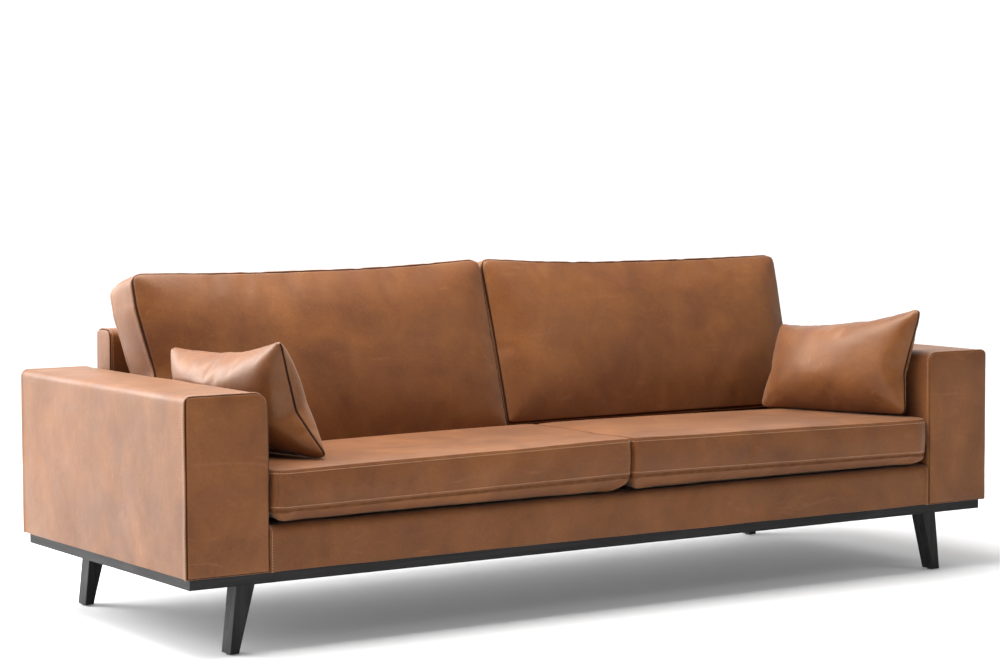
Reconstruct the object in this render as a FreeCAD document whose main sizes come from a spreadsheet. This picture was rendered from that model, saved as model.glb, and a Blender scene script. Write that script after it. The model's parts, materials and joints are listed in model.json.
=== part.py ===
# Three-seat sofa with loose cushions, box arms, a black plinth and splayed wooden legs.
# Millimetres, +Z up, +Y towards the back, origin on the floor under the middle of the sofa.
# The sheet "dim" holds the driving sizes and every piece is bound to it.
import FreeCAD, Part
import os
import Sketcher
from FreeCAD import Placement, Rotation, Vector

doc = FreeCAD.newDocument("sofa")
sheet = doc.addObject("Spreadsheet::Sheet", "dim")
nodes = []

DIMENSIONS = (
    ("overall_width", 2300, "outside of one arm to outside of the other"),
    ("frame_depth", 870, "front of the arms to the back of the sofa"),
    ("overhang", 26, "seat cushions stand this far in front of the arms"),
    ("leg_height", 155, "floor to the underside of the plinth"),
    ("plinth_height", 25, "black board under the upholstery"),
    ("plinth_inset", 12, "plinth behind the upholstery, all round"),
    ("plinth_board", 70, "width of a plinth board"),
    ("cross_rail_height", 22, "boards across the plinth"),
    ("arm_width", 197, "arm, outside to inside"),
    ("arm_top", 568, "floor to the top of an arm"),
    ("rail_top", 280, "floor to the top of the front rail"),
    ("rail_depth", 60, "front rail, front to back"),
    ("back_top", 660, "floor to the top of the fixed back"),
    ("back_depth", 78, "fixed back, front to back"),
    ("leather", 2, "leather with its backing cloth"),
    ("padding", 12, "foam and its free play between the leather and the timber"),
    ("foam", 11, "foam alone"),
    ("panel", 12, "plywood panels"),
    ("board", 20, "solid timber boards"),
    ("edge_round", 14, "edges of the upholstered frame"),
    ("arm_round", 32, "inner top edge of an arm"),
    ("gap", 0.5, "clearance round a loose cushion"),
    ("side_gap", 2, "seat cushion to arm, and half the gap between cushions"),
    ("seat_thick", 121.5, "seat cushion"),
    ("seat_round", 26, "long edges of a seat cushion"),
    ("seat_corner", 40, "upright corners of a seat cushion"),
    ("back_rise", 402, "back cushion, bottom to top"),
    ("back_foot", 223, "back cushion thickness where it stands on the seat"),
    ("back_lean", 131, "top front edge behind the bottom front edge"),
    ("back_crown", 138, "top of the back cushion, front to rear"),
    ("back_drop", 42, "top rear edge below the top front edge"),
    ("back_belly", 300, "rear bulge behind the bottom front edge"),
    ("belly_rise", 251, "height of the rear bulge"),
    ("back_front", 62, "bottom front edge of the back cushions behind the middle"),
    ("back_round", 34, "edges of a back cushion"),
    ("leg_foot_width", 21.5, "leg at the floor"),
    ("leg_outer_drift", 16.5, "outer edge of a leg, top to floor"),
    ("leg_inner_drift", 41, "inner edge of a leg, top to floor"),
    ("leg_board", 43, "thickness of the leg board"),
    ("leg_foot_inner", 1007.5, "inner edge of a foot from the middle"),
    ("leg_setback", 61, "middle of a leg behind the front face"),
    ("leg_round", 2, "edges of a leg"),
    ("glide_height", 3, "felt glide"),
    ("glide_radius", 9, "felt glide"),
    ("bolt_radius", 4, "M8 bolts"),
    ("bolt_hole", 4.2, "holes for M8 bolts"),
    ("bolt_from_middle", 992, "leg bolts from the middle"),
    ("bolt_spacing", 20, "two bolts in one leg"),
    ("bolt_bottom", 108, "lower end of a leg bolt"),
    ("anchor_height", 30, "block above the plinth that takes the leg bolts"),
    ("anchor_length", 80, "the same block, along X"),
    ("anchor_width", 50, "the same block, along Y"),
    ("drill_spare", 2, "a drill runs this far past both ends of its hole"),
    ("spring_wire", 1.9, "radius of a serpentine spring's wire"),
    ("spring_width", 50, "serpentine spring, across"),
    ("spring_pitch", 24, "one half turn of a serpentine spring"),
    ("spring_level", 266, "height of the springs"),
    ("spring_count", 10, "springs under the seat"),
    ("clip_height", 4, "spring clips on the beams"),
    ("clip_edge", 2, "a spring clip stays this far inside its beam"),
    ("deck_foam", 6, "foam over the springs"),
    ("hardboard", 4, "panel at the rear of the fixed back"),
    ("strap_width", 60, "elastic webbing in the back"),
    ("strap_thick", 1.5, "elastic webbing in the back"),
    ("strap_count", 5, "elastic webbing in the back"),
    ("pillow_long", 410, "throw pillow"),
    ("pillow_tall", 262, "throw pillow"),
    ("pillow_thick", 96, "throw pillow"),
    ("pillow_round", 42, "edges of a throw pillow"),
    ("left_pillow_lean", -25, "degrees from upright about Y; negative leans on the left arm"),
    ("left_pillow_turn", 7, "degrees about Z"),
    ("left_pillow_x", -835, "middle of the left pillow"),
    ("left_pillow_y", -152, "middle of the left pillow"),
    ("left_pillow_z", 552, "middle of the left pillow above the floor"),
    ("right_pillow_lean", 18, "degrees from upright about Y"),
    ("right_pillow_turn", -12, "degrees about Z; the front end lies nearer the arm"),
    ("right_pillow_x", 818, "middle of the right pillow"),
    ("right_pillow_y", -172, "middle of the right pillow"),
    ("right_pillow_z", 546, "middle of the right pillow above the floor"),
)
for row, (alias, number, note) in enumerate(DIMENSIONS, start=1):
    sheet.set("A%d" % row, alias)
    sheet.set("B%d" % row, str(number))
    sheet.set("C%d" % row, note)
    sheet.setAlias("B%d" % row, alias)
DERIVED = (
    ("front", "-(frame_depth + overhang) / 2 + overhang"),
    ("rear", "(frame_depth + overhang) / 2"),
    ("half", "overall_width / 2"),
    ("inner", "overall_width / 2 - arm_width"),
    ("base", "leg_height + plinth_height"),
    ("skin", "leather + padding"),
    ("seat_bottom", "rail_top + gap"),
    ("seat_top", "rail_top + gap + seat_thick"),
    ("back_face", "rear - back_depth"),
    ("cushion_wide", "inner - 2 * side_gap"),
)
for row, (alias, formula) in enumerate(DERIVED, start=len(DIMENSIONS) + 2):
    sheet.set("A%d" % row, alias)
    sheet.set("B%d" % row, "=" + formula)
    sheet.setAlias("B%d" % row, alias)
doc.recompute()


def size(alias):
    """The number in a cell of the sheet."""
    return float(sheet.get(alias))


def bound(text):
    """An expression over the sheet: every plain word becomes a cell of dim."""
    words = text.replace("(", " ( ").replace(")", " ) ").split()
    return " ".join("dim." + word if word[0].isalpha() else word for word in words)


def place(piece, corner):
    """Bind the corner of a piece's placement to three expressions."""
    for axis, text in zip("xyz", corner):
        piece.setExpression("Placement.Base." + axis, bound(text))


def node(piece, label):
    """Name a finished sub-part and list it for writing."""
    piece.Label = label
    nodes.append(piece)
    return piece


def board(label, sizes, corner):
    """A straight board: lengths along X, Y and Z, and its lowest corner."""
    box = doc.addObject("Part::Box", label)
    for side, text in zip(("Length", "Width", "Height"), sizes):
        box.setExpression(side, bound(text))
    place(box, corner)
    return box


def rod(label, radius, length, corner, turn=Rotation()):
    """A round bar that stands on its corner point and rises by its length."""
    bar = doc.addObject("Part::Cylinder", label)
    bar.Placement = Placement(Vector(), turn)
    bar.setExpression("Radius", bound(radius))
    bar.setExpression("Height", bound(length))
    place(bar, corner)
    return bar


def group(label, pieces):
    """Separate solids that share one node."""
    compound = doc.addObject("Part::Compound", label)
    compound.Links = pieces
    return compound


def drilled(label, solid, drills):
    """A piece with its bolt holes cut."""
    cut = doc.addObject("Part::Cut", label)
    cut.Base = solid
    cut.Tool = group(label + "_drills", drills)
    return cut


def outline(body, role, points):
    """A closed sketch on an origin plane, each point bound to a pair of expressions."""
    sketch = body.newObject("Sketcher::SketchObject", body.Name + "_outline")
    origin_plane = next(item for item in body.Origin.OriginFeatures if item.Role == role)
    sketch.AttachmentSupport = [(origin_plane, "")]
    sketch.MapMode = "FlatFace"
    spots = [Vector(evaluate(first), evaluate(second), 0) for first, second in points]
    for start, end in zip(spots, spots[1:] + spots[:1]):
        sketch.addGeometry(Part.LineSegment(start, end), False)
    for index in range(len(spots)):
        following = (index + 1) % len(spots)
        sketch.addConstraint(Sketcher.Constraint("Coincident", index, 2, following, 1))
    for index, pair in enumerate(points):
        for kind, text, axis in zip(("DistanceX", "DistanceY"), pair, (-2, -1)):
            if text == "0":
                sketch.addConstraint(Sketcher.Constraint("PointOnObject", index, 1, axis))
                continue
            number = sketch.addConstraint(Sketcher.Constraint(kind, -1, 1, index, 1, evaluate(text)))
            sketch.setExpression("Constraints[%d]" % number, bound(text))
    return sketch


def evaluate(text):
    """The present value of an expression over the sheet."""
    return float(sheet.evalExpression(bound(text)))


def padded(label, role, points, length):
    """A Body: one outline padded by a length, in the body's own positive corner."""
    body = doc.addObject("PartDesign::Body", label)
    pad = body.newObject("PartDesign::Pad", label + "_pad")
    pad.Profile = outline(body, role, points)
    pad.setExpression("Length", bound(length))
    body.Tip = pad
    doc.recompute()
    return body


def rectangle(width, depth):
    """The four corners of a rectangle in its own positive corner."""
    return (("0", "0"), (width, "0"), (width, depth), ("0", depth))


def edge_names(shape, where):
    """Edges whose middle lies at the named places of the box, such as {"y": "min", "z": "mid"}."""
    box = shape.BoundBox
    limits = {"x": (box.XMin, box.XMax), "y": (box.YMin, box.YMax), "z": (box.ZMin, box.ZMax)}
    share = {"min": 0, "mid": 0.5, "max": 1}
    found = []
    for index, edge in enumerate(shape.Edges, start=1):
        middle = edge.CenterOfMass
        wanted = {axis: limits[axis][0] + share[spot] * (limits[axis][1] - limits[axis][0])
                  for axis, spot in where.items()}
        if all(abs(getattr(middle, axis) - value) < TOUCH for axis, value in wanted.items()):
            found.append("Edge%d" % index)
    return found


def rounded(body, radius, places):
    """Fillet the edges of a body that lie at the given places."""
    base = body.Tip
    names = sum((edge_names(base.Shape, where) for where in places), [])
    fillet = body.newObject("PartDesign::Fillet", body.Name + "_round")
    fillet.Base = (base, names)
    fillet.setExpression("Radius", bound(radius))
    body.Tip = fillet
    doc.recompute()
    return body


def hollowed(body, wall):
    """Turn a body into a skin that is open underneath."""
    base = body.Tip
    lowest = base.Shape.BoundBox.ZMin
    under = [index for index, face in enumerate(base.Shape.Faces, start=1)
             if abs(face.CenterOfMass.z - lowest) < TOUCH]
    skin = body.newObject("PartDesign::Thickness", body.Name + "_skin")
    skin.Base = (base, ["Face%d" % under[0]])
    skin.setExpression("Value", bound(wall))
    skin.Reversed = True
    skin.Join = "Intersection"
    body.Tip = skin
    doc.recompute()
    return body


def mitred_board(label, length, corner, turn):
    """A plinth board with 45 degree ends, its long edge outside."""
    points = (("0", "0"), (length, "0"), (length + " - plinth_board", "plinth_board"),
              ("plinth_board", "plinth_board"))
    body = padded(label, "XY_Plane", points, "plinth_height")
    body.Placement = Placement(Vector(), Rotation(Vector(0, 0, 1), turn))
    place(body, corner)
    return body


SIDES = (("left", -1), ("right", 1))
ENDS = (("front", -1), ("rear", 1))
UPRIGHT = [{"x": first, "y": second} for first in ("min", "max") for second in ("min", "max")]
TOP_LOOP = [{"z": "max", axis: end} for axis in ("x", "y") for end in ("min", "max")]
TIE_SHARES = (0.25, 0.5)     # tie wires, as shares of the depth behind the front rail
BOLT_SHARES = (0.25, 0.75)   # arm bolts, as shares of the depth
POST_COUNT = 4               # upright posts in the fixed back
TOUCH = 0.01                 # two places closer than this are the same


def bolt_places():
    """The eight leg bolts: a label, a side, and the expressions of a bolt's axis."""
    for end, forward in ENDS:
        middle = "front + leg_setback" if forward < 0 else "rear - leg_setback"
        for side, way in SIDES:
            across = "bolt_from_middle" if way > 0 else "0 - bolt_from_middle"
            for number, sign in ((1, "-"), (2, "+")):
                along = "%s %s bolt_spacing / 2" % (middle, sign)
                yield "%s_%s_%d" % (end, side, number), end, side, across, along


def leg_drills(prefix, end, side):
    """Drills along the leg bolts at one end and, unless side is None, one side."""
    length = "base + anchor_height - bolt_bottom + 2 * drill_spare"
    return [rod("%s_%s" % (prefix, name), "bolt_hole", length, (across, along, "bolt_bottom - drill_spare"))
            for name, at_end, at_side, across, along in bolt_places()
            if at_end == end and side in (None, at_side)]


def plinth():
    """Four mitred boards and two cross rails under the whole sofa."""
    long_side = "overall_width - 2 * plinth_inset"
    short_side = "frame_depth - 2 * plinth_inset"
    left, right = "plinth_inset - half", "half - plinth_inset"
    near, far = "front + plinth_inset", "rear - plinth_inset"
    front = mitred_board("front_board", long_side, (left, near, "leg_height"), 0)
    rear = mitred_board("rear_board", long_side, (right, far, "leg_height"), 180)
    node(drilled("front_holes", front, leg_drills("plinth_drill", "front", None)), "plinth_front_rail")
    node(drilled("rear_holes", rear, leg_drills("plinth_drill", "rear", None)), "plinth_rear_rail")
    node(mitred_board("left_board", short_side, (left, far, "leg_height"), 270), "plinth_left_rail")
    node(mitred_board("right_board", short_side, (right, near, "leg_height"), 90), "plinth_right_rail")
    for side, way in SIDES:
        corner = "overall_width / 6 - board" if way > 0 else "0 - overall_width / 6 - board"
        sizes = ("2 * board", short_side + " - 2 * plinth_board", "cross_rail_height")
        rail = board("cross_" + side, sizes, (corner, near + " + plinth_board", "leg_height"))
        node(rail, "plinth_cross_rail_" + side)


def legs():
    """Four boards that taper and splay outwards, with bolts, anchor blocks, tee nuts and glides."""
    bolts, blocks, nuts, glides = [], [], [], []
    points = (("leg_inner_drift", "0"), ("leg_inner_drift + leg_foot_width", "0"),
              ("leg_inner_drift + leg_foot_width - leg_outer_drift", "leg_height - glide_height"),
              ("0", "leg_height - glide_height"))
    for end, forward in ENDS:
        middle = "front + leg_setback" if forward < 0 else "rear - leg_setback"
        for side, way in SIDES:
            name = "%s_%s" % (end, side)
            leg = padded(name + "_board", "XZ_Plane", points, "leg_board")
            rounded(leg, "leg_round", [{"y": "min", "z": "mid"}, {"y": "max", "z": "mid"}])
            leg.Placement = Placement(Vector(), Rotation(Vector(0, 0, 1), 0 if way > 0 else 180))
            root = "leg_foot_inner - leg_inner_drift"
            corner_x = root if way > 0 else "0 - leg_foot_inner + leg_inner_drift"
            corner_y = middle + (" + leg_board / 2" if way > 0 else " - leg_board / 2")
            place(leg, (corner_x, corner_y, "glide_height"))
            node(drilled(name + "_leg", leg, leg_drills("leg_drill", end, side)), name + "_leg")
            sign = "" if way > 0 else "0 - "
            glides.append(rod(name + "_glide", "glide_radius", "glide_height",
                              (sign + "( leg_foot_inner + leg_foot_width / 2 )", middle, "0")))
            near_end = "bolt_from_middle - board / 2"
            block_x = near_end if way > 0 else "0 - anchor_length - ( %s )" % near_end
            block = board(name + "_block", ("anchor_length", "anchor_width", "anchor_height"),
                          (block_x, middle + " - anchor_width / 2", "base"))
            blocks.append(drilled(name + "_anchor", block, leg_drills("block_drill", end, side)))
    for name, end, side, across, along in bolt_places():
        bolts.append(rod(name + "_bolt", "bolt_radius", "base + anchor_height - bolt_bottom",
                         (across, along, "bolt_bottom")))
        nuts.append(rod(name + "_nut", "2 * bolt_radius", "bolt_radius",
                        (across, along, "base + anchor_height")))
    node(group("bolts", bolts), "leg_bolts")
    node(group("blocks", blocks), "leg_anchor_blocks")
    node(group("nuts", nuts), "leg_bolt_nuts")
    node(group("glides", glides), "foot_glides")


def arm(side, way):
    """A plywood and timber box, foam all over it and a leather cover, open underneath."""
    low = "inner" if way > 0 else "0 - half"
    deep, tall = "frame_depth", "arm_top - base"
    inner_edge = {"x": "min" if way > 0 else "max", "z": "max"}
    outer_edge = {"x": "max" if way > 0 else "min", "z": "max"}
    ends = [{"y": end, "z": "max"} for end in ("min", "max")]

    def shell(label, inset, wall, wide_round, tight_round):
        body = padded(label, "XY_Plane", rectangle("arm_width - 2 * (%s)" % inset,
                                                   "%s - 2 * (%s)" % (deep, inset)),
                      "%s - (%s)" % (tall, inset))
        rounded(body, wide_round, [inner_edge])
        rounded(body, tight_round, UPRIGHT + [outer_edge] + ends)
        hollowed(body, wall)
        place(body, ("%s + %s" % (low, inset), "front + %s" % inset, "base"))
        return body

    node(shell(side + "_cover", "0", "leather", "arm_round", "edge_round"), side + "_arm_cover")
    node(shell(side + "_foam", "leather", "foam", "arm_round - leather", "edge_round - leather"),
         side + "_arm_padding")
    frame_x = low + " + skin"
    frame_wide = "arm_width - 2 * skin"
    long_side = "frame_depth - 2 * skin"
    panel_tall = "arm_top - base - skin - board"
    far_panel = low + " + arm_width - skin - panel"
    inner_x, outer_x = (frame_x, far_panel) if way > 0 else (far_panel, frame_x)
    near = "front + skin"
    for name, corner in (("inner", inner_x), ("outer", outer_x)):
        node(board("%s_%s" % (side, name), ("panel", long_side, panel_tall), (corner, near, "base")),
             "%s_arm_%s_panel" % (side, name))
    top = padded(side + "_top", "XY_Plane", rectangle(frame_wide, long_side), "board")
    rounded(top, "arm_round - skin", [inner_edge])
    place(top, (frame_x, near, "arm_top - skin - board"))
    node(top, side + "_arm_top_board")
    posts = [board("%s_post_%s" % (side, end), (frame_wide + " - 2 * panel", "board", panel_tall),
                   (frame_x + " + panel", corner, "base"))
             for end, corner in (("front", near), ("rear", "rear - skin - board"))]
    node(group(side + "_posts", posts), side + "_arm_posts")


def seat_frame():
    """Beech beams between the arms that carry the springs and the deck."""
    span = "2 * inner"
    beam_tall = "spring_level - clip_height - base"
    near = "front + skin"
    beam_corner = "0 - inner + skin"
    beam_span = span + " - 2 * skin"
    node(board("front_beam", (beam_span, "board", beam_tall), (beam_corner, near, "base")),
         "seat_front_beam")
    node(board("rear_beam", (span, "board", beam_tall), ("0 - inner", "back_face - board", "base")),
         "seat_rear_beam")
    node(board("ledger", (span, "board", beam_tall), ("0 - inner", "front + rail_depth", "base")),
         "seat_front_ledger")
    length = "back_face - 2 * board - front - rail_depth"
    for name, corner in (("left_rail", "0 - inner"), ("centre_rail", "0 - board / 2"),
                         ("right_rail", "inner - board")):
        height = "(spring_level - base) / 2" if name == "centre_rail" else beam_tall
        node(board(name, ("board", length, height), (corner, "front + rail_depth + board", "base")),
             "seat_" + name)
    cover = padded("rail_skin", "XY_Plane", rectangle(span, "rail_depth"), "rail_top - base")
    rounded(cover, "edge_round", [{"y": "min", "z": "max"}])
    hollowed(cover, "leather")
    place(cover, ("0 - inner", "front", "base"))
    node(cover, "front_rail_cover")
    foam = padded("rail_foam", "XY_Plane",
                  rectangle(span + " - 2 * leather", "rail_depth - 2 * leather"),
                  "rail_top - base - leather")
    rounded(foam, "edge_round - leather", [{"y": "min", "z": "max"}])
    hollowed(foam, "foam")
    place(foam, ("leather - inner", "front + leather", "base"))
    node(foam, "front_rail_padding")


def spring_path(start, length):
    """A serpentine wire from front to back: straight runs across, joined by half circles."""
    bend = size("spring_pitch") / 2
    reach = size("spring_width") / 2 - bend
    turns = int(length // size("spring_pitch"))
    edges = []
    for turn in range(turns):
        along = start.y + turn * size("spring_pitch")
        hand = 1 if turn % 2 == 0 else -1
        run_start = Vector(start.x - hand * reach, along, start.z)
        run_end = Vector(start.x + hand * reach, along, start.z)
        edges.append(Part.LineSegment(run_start, run_end).toShape())
        if turn < turns - 1:
            crest = run_end + Vector(hand * bend, bend, 0)
            next_start = run_end + Vector(0, 2 * bend, 0)
            edges.append(Part.Arc(run_end, crest, next_start).toShape())
    return Part.Wire(edges)


def springs():
    """Serpentine springs, their clips on the beams, and two tie wires across them."""
    count = int(size("spring_count"))
    radius = size("spring_wire")
    level = size("spring_level")
    front = size("front") + size("rail_depth") + size("board") + 2 * radius
    length = size("back_face") - size("board") - front - 2 * radius
    step = 2 * size("inner") / count
    wires, clips = [], []
    for number in range(count):
        across = step * (number + 0.5) - size("inner")
        path = spring_path(Vector(across, front, level), length)
        start = path.Edges[0]
        section = Part.Wire(Part.Circle(start.Vertexes[0].Point, start.tangentAt(0), radius).toShape())
        wires.append(path.makePipeShell([section], True, True))
        for end, along in (("front", "front + rail_depth"), ("rear", "back_face - board")):
            clips.append(board("clip_%s_%d" % (end, number),
                               ("spring_pitch", "board - 2 * clip_edge", "clip_height"),
                               ("%.3f - spring_pitch / 2" % across, along + " + clip_edge",
                                "spring_level - clip_height")))
    coil = doc.addObject("Part::Feature", "serpentine")
    coil.Shape = Part.makeCompound(wires)
    node(coil, "seat_springs")
    node(group("clips", clips), "spring_clips")
    turn = Rotation(Vector(0, 1, 0), 90)
    ties = [rod("tie_%d" % number, "spring_wire / 2", "2 * inner - 4 * board",
                ("2 * board - inner", "front + rail_depth + frame_depth * %.2f" % part,
                 "spring_level + 1.5 * spring_wire"), turn)
            for number, part in enumerate(TIE_SHARES)]
    node(group("ties", ties), "spring_tie_wires")


def deck():
    """Cloth and thin foam over the springs, and the dust cover underneath."""
    length = "back_face - front - rail_depth"
    node(board("cloth", ("2 * inner", length, "leather"),
               ("0 - inner", "front + rail_depth", "rail_top - deck_foam - leather")),
         "seat_deck_cloth")
    node(board("deck_pad", ("2 * inner", length, "deck_foam"),
               ("0 - inner", "front + rail_depth", "rail_top - deck_foam")), "seat_deck_pad")
    edge = "plinth_inset + plinth_board"
    node(board("dust", ("overall_width - 2 * (%s)" % edge, "frame_depth - 2 * (%s)" % edge, "leather"),
               ("%s - half" % edge, "front + %s" % edge, "base - leather")), "dust_cover")


def back():
    """The fixed low back between the arms: timber, webbing, foam and leather."""
    span = "2 * inner"
    tall = "back_top - base"

    def shell(label, inset, wall, turn_radius):
        body = padded(label, "XY_Plane", rectangle("%s - 2 * (%s)" % (span, inset),
                                                   "back_depth - 2 * (%s)" % inset),
                      "%s - (%s)" % (tall, inset))
        rounded(body, turn_radius, UPRIGHT + TOP_LOOP)
        hollowed(body, wall)
        place(body, ("%s - inner" % inset, "back_face + %s" % inset, "base"))
        return body

    node(shell("back_skin", "0", "leather", "edge_round"), "back_cover")
    node(shell("back_foam", "leather", "foam", "edge_round - leather"), "back_padding")
    low_x, low_y = "skin - inner", "back_face + skin + strap_thick"
    long_side, deep = span + " - 2 * skin", "back_depth - 2 * skin - strap_thick - hardboard"
    for name, height in (("bottom_rail", "base"), ("top_rail", "back_top - skin - 2 * board")):
        node(board("back_" + name, (long_side, deep, "2 * board"), (low_x, low_y, height)),
             "back_" + name)
    post_tall = "%s - skin - 4 * board" % tall
    posts = [board("back_post_%d" % number, ("2 * board", deep, post_tall),
                   ("skin - inner + (2 * inner - 2 * skin - 2 * board) * %d / %d"
                    % (number, POST_COUNT - 1), low_y, "base + 2 * board"))
             for number in range(POST_COUNT)]
    node(group("posts", posts), "back_posts")
    count = int(size("strap_count"))
    straps = [board("strap_%d" % number, (long_side, "strap_thick", "strap_width"),
                    (low_x, "back_face + skin",
                     "base + board + (%s - skin - strap_width - 2 * board) * %d / %d"
                     % (tall, number, count - 1)))
              for number in range(count)]
    node(group("straps", straps), "back_webbing")
    node(board("hardboard_panel", (long_side, "hardboard", "%s - skin" % tall),
               (low_x, low_y + " + " + deep, "base")), "back_hardboard_panel")


def arm_bolts():
    """Bolts through the inner arm panels into the side rails of the seat."""
    bolts = []
    for side, way in SIDES:
        turn = Rotation(Vector(0, 1, 0), 90 * way)
        for number, part in enumerate(BOLT_SHARES):
            along = "front + frame_depth * %.2f" % part
            start = "inner + skin + panel" if way > 0 else "0 - inner - skin - panel"
            bolts.append(rod("arm_bolt_%s_%d" % (side, number), "2 * bolt_radius", "bolt_radius",
                             (start, along, "base + 2 * board"), turn))
    node(group("arm_bolt_heads", bolts), "arm_bolt_heads")


def soft_block(label, inset):
    """A seat cushion or its foam core: rounded all over, tighter by the inset on every side."""
    body = padded(label, "XY_Plane",
                  rectangle("cushion_wide - 2 * (%s)" % inset,
                            "back_face - front + overhang - 2 * side_gap - 2 * (%s)" % inset),
                  "seat_thick - 2 * (%s)" % inset)
    rounded(body, "seat_corner - (%s)" % inset, UPRIGHT)
    rounded(body, "seat_round - (%s)" % inset, [{"z": "max", "y": "min"}, {"z": "min", "y": "min"}])
    return body


def back_block(label, inset):
    """A back cushion or its filling: it leans back and bulges towards the fixed back."""
    points = ((inset, inset),
              ("back_foot - (%s)" % inset, inset),
              ("back_belly - (%s)" % inset, "belly_rise"),
              ("back_lean + back_crown - (%s)" % inset, "back_rise - back_drop - (%s)" % inset),
              ("back_lean + (%s)" % inset, "back_rise - (%s)" % inset))
    body = padded(label, "YZ_Plane", points, "cushion_wide - 2 * (%s)" % inset)
    rounded(body, "back_round - (%s)" % inset, [{"z": "max"}])
    return body


def build_cushions():
    """Two seat cushions, two back cushions and two throw pillows, each a cover and its filling."""
    for side, way in SIDES:
        seat_x = "side_gap" if way > 0 else "side_gap - inner"
        shells = []
        for part, inset in (("outside", "0"), ("inside", "leather"), ("core", "leather + gap")):
            block = soft_block("%s_seat_%s" % (side, part), inset)
            place(block, ("%s + %s" % (seat_x, inset), "front - overhang + %s" % inset,
                          "seat_bottom + %s" % inset))
            shells.append(block)
        close_cover(shells, side + "_seat_cushion")
        shells = []
        for part, inset in (("outside", "0"), ("inside", "leather"), ("core", "leather + gap")):
            block = back_block("%s_back_%s" % (side, part), inset)
            place(block, ("%s + %s" % (seat_x, inset), "back_front", "seat_top + gap"))
            shells.append(block)
        close_cover(shells, side + "_back_cushion")
        throw_pillow(side)


def close_cover(shells, label):
    """Cut the cavity out of the cover, and list the cover and the filling."""
    outside, inside, core = shells
    cover = doc.addObject("Part::Cut", label + "_skin")
    cover.Base = outside
    cover.Tool = inside
    node(cover, label + "_cover")
    node(core, label + "_core")


def throw_pillow(side):
    """A small loose pillow that leans on the arm."""
    turn = Rotation(Vector(0, 0, 1), size(side + "_pillow_turn"))
    lean = Rotation(Vector(0, 1, 0), size(side + "_pillow_lean"))
    rotation = turn.multiply(lean)
    centre = Vector(*[size("%s_pillow_%s" % (side, axis)) for axis in "xyz"])
    shells = []
    for part, inset in (("outside", "0"), ("inside", "leather"), ("core", "leather + gap")):
        sides = ["pillow_%s - 2 * (%s)" % (name, inset) for name in ("thick", "long", "tall")]
        body = padded("%s_pillow_%s" % (side, part), "XY_Plane", rectangle(sides[0], sides[1]), sides[2])
        rounded(body, "pillow_round - (%s)" % inset, UPRIGHT)
        half = Vector(*[evaluate(text) / 2 for text in sides])
        body.Placement = Placement(centre - rotation.multVec(half), rotation)
        shells.append(body)
    close_cover(shells, side + "_throw_pillow")


def check_and_write():
    """Stop on any failed object, then write each node."""
    doc.recompute()
    failed = [item.Label for item in doc.Objects if {"Invalid", "Error"} & set(item.State)]
    failed += [piece.Label for piece in nodes if piece.Shape.isNull() or not piece.Shape.isValid()]
    if failed:
        raise RuntimeError("these failed: " + ", ".join(failed))
    os.makedirs("parts", exist_ok=True)
    for piece in nodes:
        piece.Shape.exportStep(os.path.join("parts", piece.Label + ".step"))


plinth()
legs()
for arm_side, arm_way in SIDES:
    arm(arm_side, arm_way)
seat_frame()
springs()
deck()
back()
arm_bolts()
build_cushions()
check_and_write()
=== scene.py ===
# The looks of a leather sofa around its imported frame: every length is in metres.
import json
import math

import bmesh
import bpy
import numpy as np
from mathutils import Matrix, Vector, noise


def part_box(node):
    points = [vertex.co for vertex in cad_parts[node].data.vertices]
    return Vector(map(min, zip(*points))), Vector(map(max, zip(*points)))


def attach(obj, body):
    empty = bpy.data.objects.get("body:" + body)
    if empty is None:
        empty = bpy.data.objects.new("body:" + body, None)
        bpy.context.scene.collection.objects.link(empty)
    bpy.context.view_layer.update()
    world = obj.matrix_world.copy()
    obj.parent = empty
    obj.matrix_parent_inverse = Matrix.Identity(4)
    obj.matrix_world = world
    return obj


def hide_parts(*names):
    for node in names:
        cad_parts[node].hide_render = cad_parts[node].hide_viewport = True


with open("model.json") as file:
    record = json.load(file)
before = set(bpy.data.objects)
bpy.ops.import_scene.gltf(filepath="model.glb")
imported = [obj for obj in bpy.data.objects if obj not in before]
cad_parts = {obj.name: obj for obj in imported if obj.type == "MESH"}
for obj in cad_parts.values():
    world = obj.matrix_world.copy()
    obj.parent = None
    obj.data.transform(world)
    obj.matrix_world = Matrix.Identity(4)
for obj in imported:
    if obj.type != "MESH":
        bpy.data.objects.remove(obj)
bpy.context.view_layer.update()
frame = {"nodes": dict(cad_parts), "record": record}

nodes = frame["nodes"]
scene = bpy.context.scene

# Places on the frame that the soft pieces meet.
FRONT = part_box("front_rail_cover")[0].y
SEAT_LOW, SEAT_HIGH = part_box("left_seat_cushion_cover")
SEAT_LEVEL = SEAT_HIGH.z
ARM_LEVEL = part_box("left_arm_cover")[1].z
RAIL_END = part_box("front_rail_cover")[1].x
BACK_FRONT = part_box("left_back_cushion_cover")[0].y
FIXED_BACK_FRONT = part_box("back_cover")[0].y
FIXED_BACK_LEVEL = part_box("back_cover")[1].z

SEAM_DEPTH = 0.0028       # a seam lies this much below the leather beside it
SEAM_WIDTH = 0.0015       # half the width of its groove
BAND_HEIGHT = 0.0015      # the turned-in edge beside a seam stands this proud
STITCH_INSET = 0.0066     # topstitching runs this far from its seam
STITCH_LENGTH = 0.0042
STITCH_PITCH = 0.0062
STITCH_RADIUS = 0.00065
STITCH_LIFT = 0.0004      # the middle of the thread lies this far above the leather
STITCH_RINGS = ((-0.5, 0.35), (-0.3, 1), (0.3, 1), (0.5, 0.35))   # shares of its length and radius
SIM_FRAMES = 20
TINY = 1e-6               # a smaller length counts as none


# ---------------------------------------------------------------- camera, lights, floor

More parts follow.
